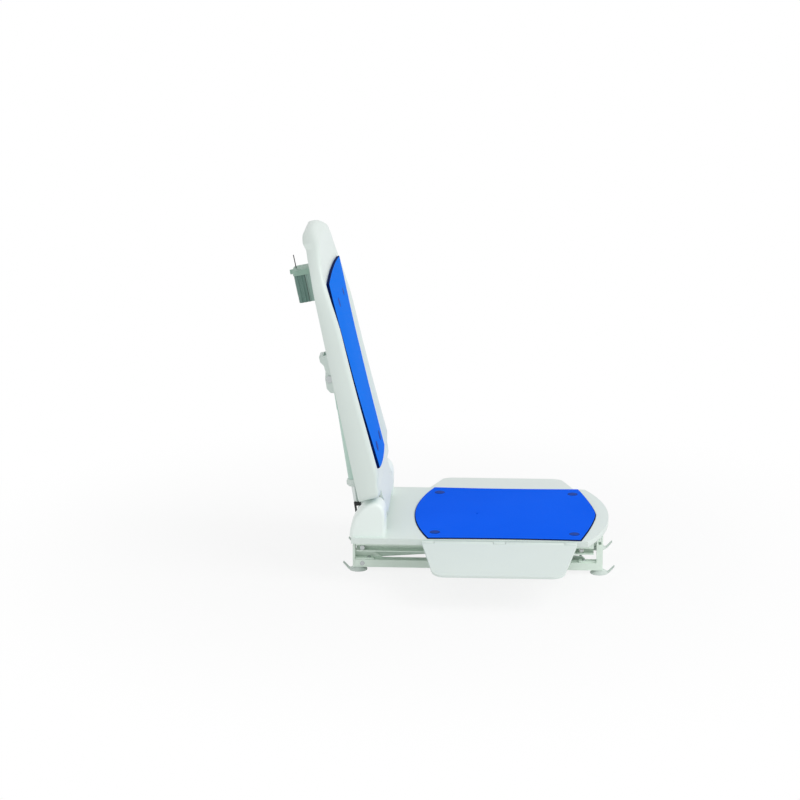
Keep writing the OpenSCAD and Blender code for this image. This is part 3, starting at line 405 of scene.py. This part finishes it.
def foam_finish(name, colour, deep):
    """Skin of foamed vinyl: fine pebbled grain over a slow cloud, nearly without gloss."""
    material, shader, at = start_finish(name, Specular_IOR_Level=0.04)
    cloud = at.add("TexNoise", Vector=at, Scale=6.0, Detail=3.0)
    pebble = at.add("TexVoronoi", {"feature": "SMOOTH_F1"}, output="Distance", Vector=at, Scale=620.0)
    fine = at.add("TexNoise", Vector=at, Scale=1500.0, Detail=2.0)
    base = (cloud * 0.7 + pebble * 0.5).mix(colour, deep)
    bump = at.add("Bump", Strength=0.35, Distance=0.0004, Height=pebble + fine * 0.4)
    feed(shader, Base_Color=base, Roughness=cloud * 0.1 + 0.7, Normal=bump)
    return material


cover_blue = foam_finish("cover_blue", tone(6, 104, 254), tone(2, 94, 244))
# Near-black navy for the covers' edges and drain: painted shade, not a colour of the foam.
cover_edge_shade = foam_finish("cover_edge_shade", tone(2, 26, 88), tone(1, 20, 70))
stud_blue = grained_finish("stud_blue", tone(4, 62, 158), 0.6, 900.0, 0.2, Specular_IOR_Level=0.08)
dress(["seat_cover_studs", "back_cover_studs"], stud_blue, 1.2)
seat_studs = [Vector((seat_cover_x + i * stud_dx, j * stud_dy)) for i in (-1, 1) for j in (-1, 1)]
seat_sheet = cover_sheet(seat_cover_outline(), seat_cover_reach, seat_studs, drain)
seat_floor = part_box("seat_cover")[0].z
seat_pad = add_piece(seat_sheet, "seat_foam", Matrix.Translation((0.0, 0.0, seat_floor)),
                     [cover_blue, cover_edge_shade], "seat", ["seat_cover"])


# Hinge ears: white moulded blocks with rounded outlines, screwed on the rear corners of the seat.
# Each holds one of the two pins on which the backrest leans.
ear_in = 121.0
ear_out = 178.0
ear_foot = -34.0
ear_crest_x = -6.0
ear_crest_z = 38.0
ear_rear = 53.0
ear_front = 21.0
ear_cheek = 30.0
ear_power = 1.3
ear_soft = 8.0
ear_hard = 1.5
ear_round_steps = 6
ear_turn_steps = 14
above_foot = ear_foot + 0.1
hinge_place = Matrix.Translation((-0.146, 0.0, 0.134))

# The ears take a lighter copy of the white moulding, as painted light.
ear_white_lit = grained_finish("ear_white_lit", tone(240, 250, 246), 0.36, 1100.0, 0.14, 0.02)
quarter = quarter_turn(ear_turn_steps)
ear_rise = ear_crest_z - ear_foot
ear_back = [(ear_crest_x - ear_rear * math.cos(a) ** ear_power, ear_foot + ear_rise * math.sin(a))
            for a in quarter]
ear_brow = [(ear_crest_x + ear_front * math.sin(a), ear_crest_z - ear_cheek * (1 - math.cos(a)))
            for a in quarter[1:]]
ear_side = ear_back + ear_brow + [(ear_crest_x + ear_front, ear_foot)]
for side, hand in ((1, "left"), (-1, "right")):
    ear = bmesh.new()
    inner = new_face(ear, [(x, side * ear_in, z) for x, z in ear_side])
    raised = bmesh.ops.extrude_face_region(ear, geom=[inner], use_keep_orig=True)
    outer = next(g for g in raised["geom"] if isinstance(g, bmesh.types.BMFace))
    bmesh.ops.translate(ear, verts=outer.verts, vec=(0.0, side * (ear_out - ear_in), 0.0))
    for cheek, radius in ((outer, ear_soft), (inner, ear_hard)):
        rim = [e for e in cheek.edges if max(v.co.z for v in e.verts) > above_foot]
        bmesh.ops.bevel(ear, geom=rim, offset=radius, affect="EDGES", segments=ear_round_steps,
                        profile=0.5, material=-1)
    block = add_piece(ear, "ear_" + hand, hinge_place, [ear_white_lit], "seat", ["hinge_ear_" + hand])


# Backrest: a white moulded shell, dished between raised rims and curving forward at the head,
# with a tongue that turns on the pins of the ears. Two panels close its hollow rear.
back_lean = math.radians(-15.0)
back_frame = hinge_place @ Matrix.Rotation(back_lean, 4, "Y")
back_front = 16.0
head_lean = 12.0
lean_z = 150.0
head_z = 570.0
head_start = 4.0
head_drop = 11.0
back_top = 606.0
arch_z = 450.0
arch_power = 0.85
arch_steps = 40
notch_z = 46.0
waist_z = 150.0
shoulder_z = 340.0
low_half = 174.0
shoulder_half = 178.0
low_corner = 12.0
low_corner_steps = 6
flank_step = 14.0
shell_round = 9.0
shell_round_steps = 6
shell_border = 10.0
shell_step = 8.0
shell_wall = 4.0
dish_half = 108.0
dish_step = 36.0
dish_edge_step = 6.0
dish_edge_cuts = 10
rim_h = 10.0
rim_low = 60.0
rim_low_fade = 50.0
rim_low_share = 0.2
rim_high = 540.0
rim_high_fade = 150.0
rim_flat = 11.0
rim_slope = 20.0
rear_edge = 1.4
rear_break = 0.4
rear_soft = 1.0
rear_low = (-29.0, 39.0)
rear_high = (0.8, 536.0)
lip_depth = 6.0
lip_start = 572.0
lip_rise = 16.0
lip_end = 596.0
lip_fall = 12.0
crest_start = 598.0
crest_rise = 9.0
crest_in = 4.0
hollow_top = 566.0
hollow_step = 24.0
hollow_level = hollow_top - 1.0
head_step = 5.0
panel_t = 3.6
panel_edge = 113.6
panel_play = 0.5
panel_foot = notch_z + 6.0
foot_cuts = (0.0, 50.0, panel_edge, panel_edge + 2 * panel_play, 140.0)


def back_face(z):
    lean = min(max(0.0, (z - lean_z) / (head_z - lean_z)), 1.0)
    return back_front + head_lean * lean ** 2


def back_surface(z, distance):
    """Front of the shell at a height and a distance from its outline."""
    fade = min(1.0, ease((rim_high - z) / rim_high_fade), rim_low_share + ease((z - rim_low) / rim_low_fade))
    rim = rim_h * fade * (1.0 - ease((distance - rim_flat) / rim_slope))
    top = head_drop * ease((z - head_z - head_start) / (back_top - head_z))
    return back_face(z) + rim - top - edge_round(distance, shell_round)


def back_rear(z):
    """Rear of the shell at a height: a straight slope, a rolled lip and a rounded crest."""
    slope = (rear_high[0] - rear_low[0]) / (rear_high[1] - rear_low[1])
    line = rear_low[0] + slope * (min(z, rear_high[1]) - rear_low[1])
    roll = ease((z - lip_start) / lip_rise) - ease((z - lip_end) / lip_fall)
    return line - lip_depth * roll + crest_in * ease((z - crest_start) / crest_rise)


def side_half(z):
    return low_half + (shoulder_half - low_half) * ease((z - waist_z) / (shoulder_z - waist_z))


def shell_outline():
    """Right half of the shell in front view, from the middle of its lower edge up to the top."""
    foot = [(y, notch_z) for y in foot_cuts]
    turn = [(low_half - low_corner + low_corner * math.sin(a),
             notch_z + low_corner - low_corner * math.cos(a)) for a in quarter_turn(low_corner_steps)]
    flank = [(side_half(z), z) for z in spaced(notch_z + low_corner, arch_z, flank_step)]
    rise = back_top - arch_z
    level = math.asin(((hollow_top - arch_z) / rise) ** (1.0 / arch_power))
    turns = sorted(quarter_turn(arch_steps)[:-1] + [level])
    arch = [(shoulder_half * math.cos(a) ** arch_power, arch_z + rise * math.sin(a) ** arch_power)
            for a in turns]
    return foot + turn + flank + arch


half = shell_outline()
loop = half + [(0.0, back_top)] + [(-y, z) for y, z in reversed(half[1:])]
sides = [Vector(q) for q in loop]
shell = bmesh.new()
face = new_face(shell, [(0.0, y, z) for y, z in loop])
inset_rings(shell, face, round_rings(shell_round, shell_round_steps) + [shell_border])
middle = cut_across(shell, [face], 2, spaced(notch_z + shell_border, back_top - shell_border, shell_step))
dish_cuts = [dish_half + dish_edge_step * i for i in range(dish_edge_cuts)]
dish_middle = spaced(-dish_half, dish_half, dish_step)
cut_across(shell, middle, 1, [-y for y in dish_cuts] + dish_middle + dish_cuts)
front = set(shell.verts)
for v in front:
    v.co.x = back_surface(v.co.z, to_edge(v.co.yz, sides))

rear_face = new_face(shell, [(0.0, y, z) for y, z in loop])
inset_rings(shell, rear_face, [rear_break, rear_edge])
level_pair = sorted(rear_face.verts, key=lambda v: abs(v.co.z - hollow_level))[:2]
bmesh.ops.connect_verts(shell, verts=level_pair)
parts = [f for f in level_pair[0].link_faces if level_pair[1] in f.verts]
hollow_face, head_face = sorted(parts, key=lambda f: f.calc_center_median().z)
bmesh.ops.inset_region(shell, faces=[hollow_face], thickness=shell_wall - rear_edge, use_even_offset=True)
cut_across(shell, [head_face], 2, spaced(hollow_top, back_top - rear_edge, head_step))
floor_strips = cut_across(shell, [hollow_face], 2, spaced(notch_z + shell_wall, hollow_top, hollow_step))
for v in set(shell.verts) - front:
    v.co.x = back_rear(v.co.z) + max(0.0, rear_soft - to_edge(v.co.yz, sides)) ** 2
    if v.co.z < panel_foot and abs(v.co.y) < panel_edge + panel_play:
        v.co.x += panel_t
sunk = bmesh.ops.extrude_face_region(shell, geom=floor_strips)
bmesh.ops.delete(shell, geom=[f for f in floor_strips if f.is_valid], context="FACES")
for v in (g for g in sunk["geom"] if isinstance(g, bmesh.types.BMVert)):
    v.co.x = back_face(v.co.z) - shell_wall
wall_between(shell)

heel_r = 17.0
heel_top = 34.0
heel_steps = 24
tongue_half = 118.0
tongue_top = 58.0
tongue_rear = [(-24.0, tongue_top), (-25.2, 40.0), (-28.8, 38.6)]
tongue_edge = 1.2
tongue_wall = 5.0
pin_pocket = 27.0
heel_turn = [math.pi * (i / heel_steps - 1) for i in range(heel_steps + 1)]
heel = [(heel_r * math.cos(a), heel_r * math.sin(a)) for a in heel_turn]
tongue_side = heel + [(back_front, heel_top), (back_front, tongue_top)] + tongue_rear
tongue_face = new_face(shell, [(x, -tongue_half, z) for x, z in tongue_side])
raised = bmesh.ops.extrude_face_region(shell, geom=[tongue_face], use_keep_orig=True)
far_face = next(g for g in raised["geom"] if isinstance(g, bmesh.types.BMFace))
bmesh.ops.translate(shell, verts=far_face.verts, vec=(0.0, 2 * tongue_half, 0.0))
for end, inward in ((tongue_face, pin_pocket), (far_face, -pin_pocket)):
    for thickness in (tongue_edge, tongue_wall):
        bmesh.ops.inset_region(shell, faces=[end], thickness=thickness, use_even_offset=True)
    well = bmesh.ops.extrude_face_region(shell, geom=[end])
    bottom = [g for g in well["geom"] if isinstance(g, bmesh.types.BMVert)]
    bmesh.ops.translate(shell, verts=bottom, vec=(0.0, inward, 0.0))
    if end.is_valid:
        bmesh.ops.delete(shell, geom=[end], context="FACES_ONLY")
back_moulding = add_piece(shell, "back_moulding", back_frame, [white_moulding], "backrest", ["back_shell"])
dress(["rear_cover_left", "rear_cover_right", "actuator_bracket", "handset_holder", "end_collar"],
      white_moulding, 1.0)
dress(["back_screws"], plain_steel, 0.4)


# Back cover: the same blue foam sheet, cut wider towards the shoulders and held by four studs
# in the dish of the back, whose curve it follows.
pad_low_z = 86.0
pad_high_z = 500.0
pad_mid_z = 300.0
pad_flare_z = 90.0
pad_low_half = 88.0
pad_mid_half = 120.0
pad_top_half = 144.0
pad_arch = 7.0
pad_reach = 90.0
pad_side_steps = 48
cover_gap = 0.3
back_studs = [Vector((s * y, z)) for y, z in ((55.0, 441.0), (42.0, 122.0)) for s in (-1, 1)]


def pad_half(z):
    flare = min(max((z - pad_flare_z) / (pad_mid_z - pad_flare_z), 0.0), 1.0)
    return (pad_low_half + (pad_mid_half - pad_low_half) * flare
            + (pad_top_half - pad_mid_half) * ease((z - pad_mid_z) / (pad_high_z - pad_mid_z)))


def pad_outline():
    low_turns = [i / side_steps for i in range(1, side_steps)]
    high_turns = [i / end_steps for i in range(end_steps - 1, 0, -1)]
    heights = [pad_low_z + (pad_high_z - pad_low_z) * i / pad_side_steps for i in range(pad_side_steps + 1)]
    low = [(t * pad_half(pad_low_z), pad_low_z - pad_arch * (1 - t * t)) for t in low_turns]
    flank = [(pad_half(z), z) for z in heights]
    high = [(t * pad_half(pad_high_z), pad_high_z + pad_arch * (1 - t * t)) for t in high_turns]
    right = low + flank + high
    left = [(-y, z) for y, z in reversed(right)]
    return right + [(0.0, pad_high_z + pad_arch)] + left + [(0.0, pad_low_z - pad_arch)]


# The back cover takes a lighter copy of the seat cover's blue, as painted light on the upright face.
back_blue_lit = foam_finish("back_blue_lit", tone(14, 125, 246), tone(8, 114, 234))
back_sheet = cover_sheet(pad_outline(), pad_reach, back_studs)
for v in back_sheet.verts:
    y, z, x = v.co
    v.co = (back_face(z) + cover_gap + x, y, z)
back_pad = add_piece(back_sheet, "back_foam", back_frame, [back_blue_lit, cover_edge_shade], "backrest",
                     ["back_cover"])


# Drive strut: a grey coated tube that hangs on the bracket in a steel cradle, with a small motor
# across its head. Bare inner stages slide out of it, down to a black fork on the base shaft.
tube_coat = grained_finish("tube_coat", tone(201, 228, 217), 0.36, 1000.0, 0.15)
black_plastic = grained_finish("black_plastic", tone(22, 23, 24), 0.45, 900.0, 0.2)
rod_metal = brushed_finish("rod_metal", tone(215, 222, 220), 0.3, (900.0, 900.0, 60.0))
dress(["actuator_tube", "gearbox", "strut_cradle"], tube_coat, 0.6)
dress(["motor", "drive_spindle"], plain_steel, 0.4)
dress(["push_rod"], rod_metal, 0.3)
dress(["drive_fork"], black_plastic, 0.5)


# Hand control: a grey moulded case, fluted at the rear for the grip, under a lighter cap. Its rear
# half is painted darker as painted shade and its front half lighter as painted light, with a dark
# line where they meet. It hangs on the back by a tongue, with a stiff wire above it.
parting = -0.028
parting_half = 0.0009
rear_x = -0.28395
rear_z = 0.65195
rear_lean = math.radians(11.5687)
hand_shaded_dark = tone(104, 136, 126)
hand_lit_pale = tone(148, 176, 166)
hand_seam = tone(40, 52, 48)
hand_cloud = (0.7, 0.7, 0.7, 1.0)
hand_cloud_share = 0.12
hand_seam_share = 0.8

handset_case, case_shader, case_at = start_finish("handset_case")
east = case_at.add("SeparateXYZ", output="X", Vector=case_at)
up = Socket(east.tree, east.out.node.outputs["Z"])
behind = (east - rear_x) * math.cos(rear_lean) + (up - rear_z) * math.sin(rear_lean)
lit_front_half = case_at.math("GREATER_THAN", behind, parting)
seam = case_at.add("Math", {"operation": "COMPARE"}, i0=behind, i1=parting, i2=parting_half)
case_cloud = case_at.add("TexNoise", Vector=case_at, Scale=30.0, Detail=4.0)
case_grain = case_at.add("TexNoise", Vector=case_at, Scale=1200.0, Detail=2.0)
# Darker rear half and paler front half: painted shade and painted light on one grey plastic.
lit_and_shaded_halves = lit_front_half.mix(hand_shaded_dark, hand_lit_pale)
clouded = (case_cloud * hand_cloud_share).mix(lit_and_shaded_halves, hand_cloud, "MULTIPLY")
seamed = (seam * hand_seam_share).mix(clouded, hand_seam)
case_bump = case_at.add("Bump", Strength=0.25, Distance=0.0005, Height=case_grain)
feed(case_shader, Base_Color=seamed, Roughness=case_cloud * 0.14 + 0.44, Normal=case_bump)
handset_light = grained_finish("handset_light", tone(152, 184, 168), 0.46, 900.0, 0.2)
dress(["handset_case"], handset_case, 1.2)
dress(["handset_cap", "rocker_button"], handset_light, 1.2)
dress(["handset_battery", "hanger_wire"], black_plastic, 0.3)


# Studio: a white floor that keeps a soft shadow, even light from the sky and two large
# panels, and a long lens at the photograph's height.
white = (1.0, 1.0, 1.0, 1.0)
floor_half = 6.0
floor_grey = (0.9, 0.9, 0.9, 1.0)
shadow_kept = 0.16
shadow_near = 0.3375
shadow_far = 1.2
sky_light = 0.6


def white_rays(at):
    """Share of the rays that see the studio as plain white."""
    path = at.add("LightPath").out.node
    direct = Socket(at.tree, path.outputs["Is Camera Ray"])
    mirrored = Socket(at.tree, path.outputs["Is Glossy Ray"])
    through = Socket(at.tree, path.outputs["Is Transmission Ray"])
    return direct + mirrored + through


floor = bmesh.new()
bmesh.ops.create_grid(floor, x_segments=1, y_segments=1, size=floor_half)
floor_mesh = bpy.data.meshes.new("floor")
floor.to_mesh(floor_mesh)
floor.free()
floor_piece = bpy.data.objects.new("floor", floor_mesh)
bpy.context.scene.collection.objects.link(floor_piece)

floor_finish = bpy.data.materials.new("floor_white")
floor_finish.use_nodes = True
floor_finish.node_tree.nodes.clear()
seen = Socket(floor_finish.node_tree)
matt = seen.add("BsdfDiffuse", Color=floor_grey)
glow = seen.add("Emission", Color=white, Strength=1.0)
here = seen.add("TexCoord", output="Object")
apart = seen.add("VectorMath", {"operation": "LENGTH"}, output="Value", i0=here)
near = seen.add("MapRange", {"interpolation_type": "SMOOTHSTEP"}, i0=apart, i1=shadow_near,
                i2=shadow_far, i3=1.0, i4=0.0)
ground = seen.add("MixShader", i0=white_rays(seen) * (1 - near * shadow_kept), i1=matt, i2=glow)
seen.add("OutputMaterial", Surface=ground)
floor_mesh.materials.append(floor_finish)

scene = bpy.context.scene
scene.world = bpy.data.worlds.new("studio")
scene.world.use_nodes = True
scene.world.node_tree.nodes.clear()
sky = Socket(scene.world.node_tree)
ambient = sky.add("Background", Color=white, Strength=sky_light)
backdrop = sky.add("Background", Color=white, Strength=1.0)
sky.add("OutputWorld", Surface=sky.add("MixShader", i0=white_rays(sky), i1=ambient, i2=backdrop))


def panel(name, place, aim, size, power):
    lamp = bpy.data.lights.new(name, "AREA")
    lamp.shape = "SQUARE"
    lamp.size = size
    lamp.energy = power
    holder = bpy.data.objects.new(name, lamp)
    holder.location = place
    holder.rotation_euler = (Vector(aim) - Vector(place)).to_track_quat("-Z", "Y").to_euler()
    scene.collection.objects.link(holder)


panel("key", place=(2.6, -1.3, 2.6), aim=(0.0, 0.0, 0.25), size=2.2, power=58.0)
panel("fill", place=(-1.6, -2.4, 1.2), aim=(0.0, 0.0, 0.2), size=1.8, power=9.0)

view_azimuth = math.radians(2.87)
view_height = math.radians(14.68)
view_distance = 5.5
view_target = Vector((-0.1095, 0.0, 0.3462))
metres_per_pixel = 0.0021
photo_side = 800
back = Vector((math.sin(view_azimuth) * math.cos(view_height),
               -math.cos(view_azimuth) * math.cos(view_height), math.sin(view_height)))
camera = bpy.data.cameras.new("camera")
camera.sensor_width = 36.0
camera.lens = camera.sensor_width * view_distance / (metres_per_pixel * photo_side)
camera.clip_end = 100.0
camera_piece = bpy.data.objects.new("camera", camera)
camera_piece.location = view_target + back * view_distance
camera_piece.rotation_euler = (-back).to_track_quat("-Z", "Y").to_euler()
scene.collection.objects.link(camera_piece)
scene.camera = camera_piece
scene.view_settings.view_transform = "Standard"
